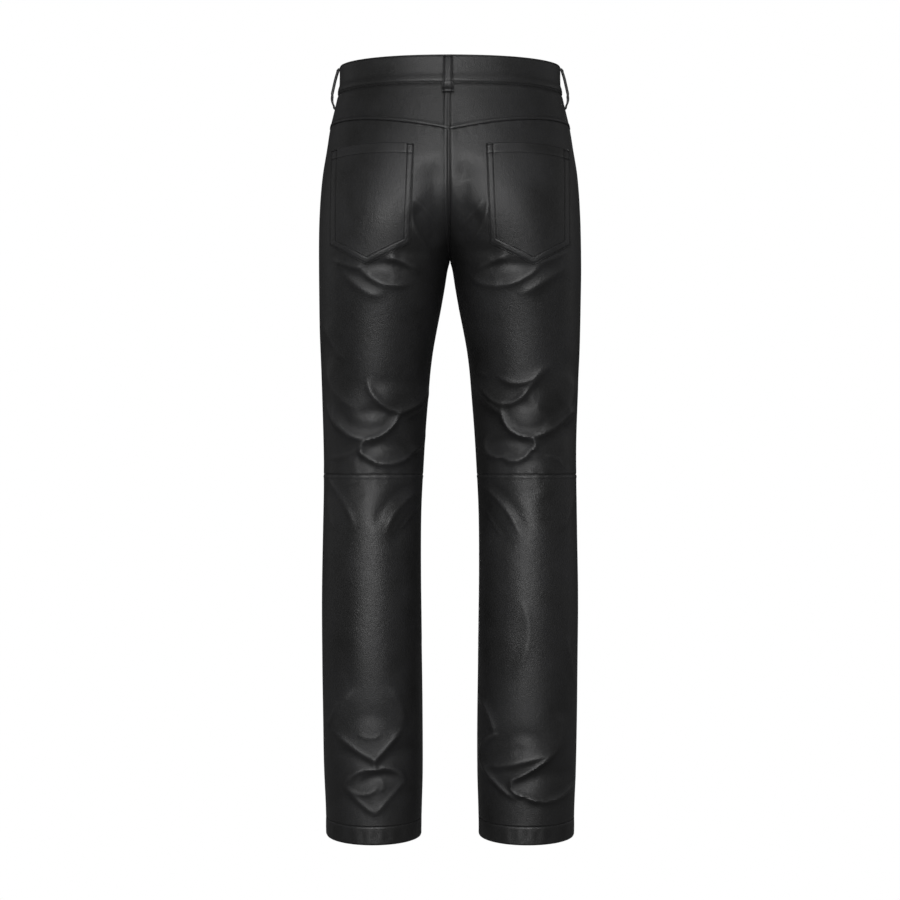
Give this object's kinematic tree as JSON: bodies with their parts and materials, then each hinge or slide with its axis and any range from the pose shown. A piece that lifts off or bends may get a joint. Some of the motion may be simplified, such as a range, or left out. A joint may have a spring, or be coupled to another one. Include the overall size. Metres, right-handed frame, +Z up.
{
  "type": "men's leather trousers",
  "caption": "Straight-leg leather trousers in worn, hollow form: waistband with belt loops, yoke, patch pockets behind, seams across the knees, turned hems.",
  "frame": {"origin": "middle of the waist opening, level with the waistband's top edge", "axes": "+Z up out of the waist, +Y to the back, +X to the wearer's left"},
  "size_m": [0.366, 0.2457, 1.0752],
  "materials": {
    "leather": "semi-matte, soft sheen",
    "patch_leather": "semi-matte",
    "zip_tape": "woven, matte",
    "button_metal": "blackened"
  },
  "bodies": {
    "root": {"back_yoke_left": "leather", "back_upper_left": "leather", "back_lower_left": "leather", "front_upper_left": "leather", "front_lower_left": "leather", "back_yoke_right": "leather", "back_upper_right": "leather", "back_lower_right": "leather", "front_upper_right": "leather", "front_lower_right": "leather", "waistband": "leather", "fly_shield": "leather", "back_pocket_left": "patch_leather", "back_pocket_right": "patch_leather", "belt_loop_back": "patch_leather", "belt_loop_side_left": "patch_leather", "belt_loop_side_right": "patch_leather", "belt_loop_front_left": "patch_leather", "belt_loop_front_right": "patch_leather", "fly_zip": "zip_tape", "waist_button": "button_metal"}
  },
  "joints": []
}
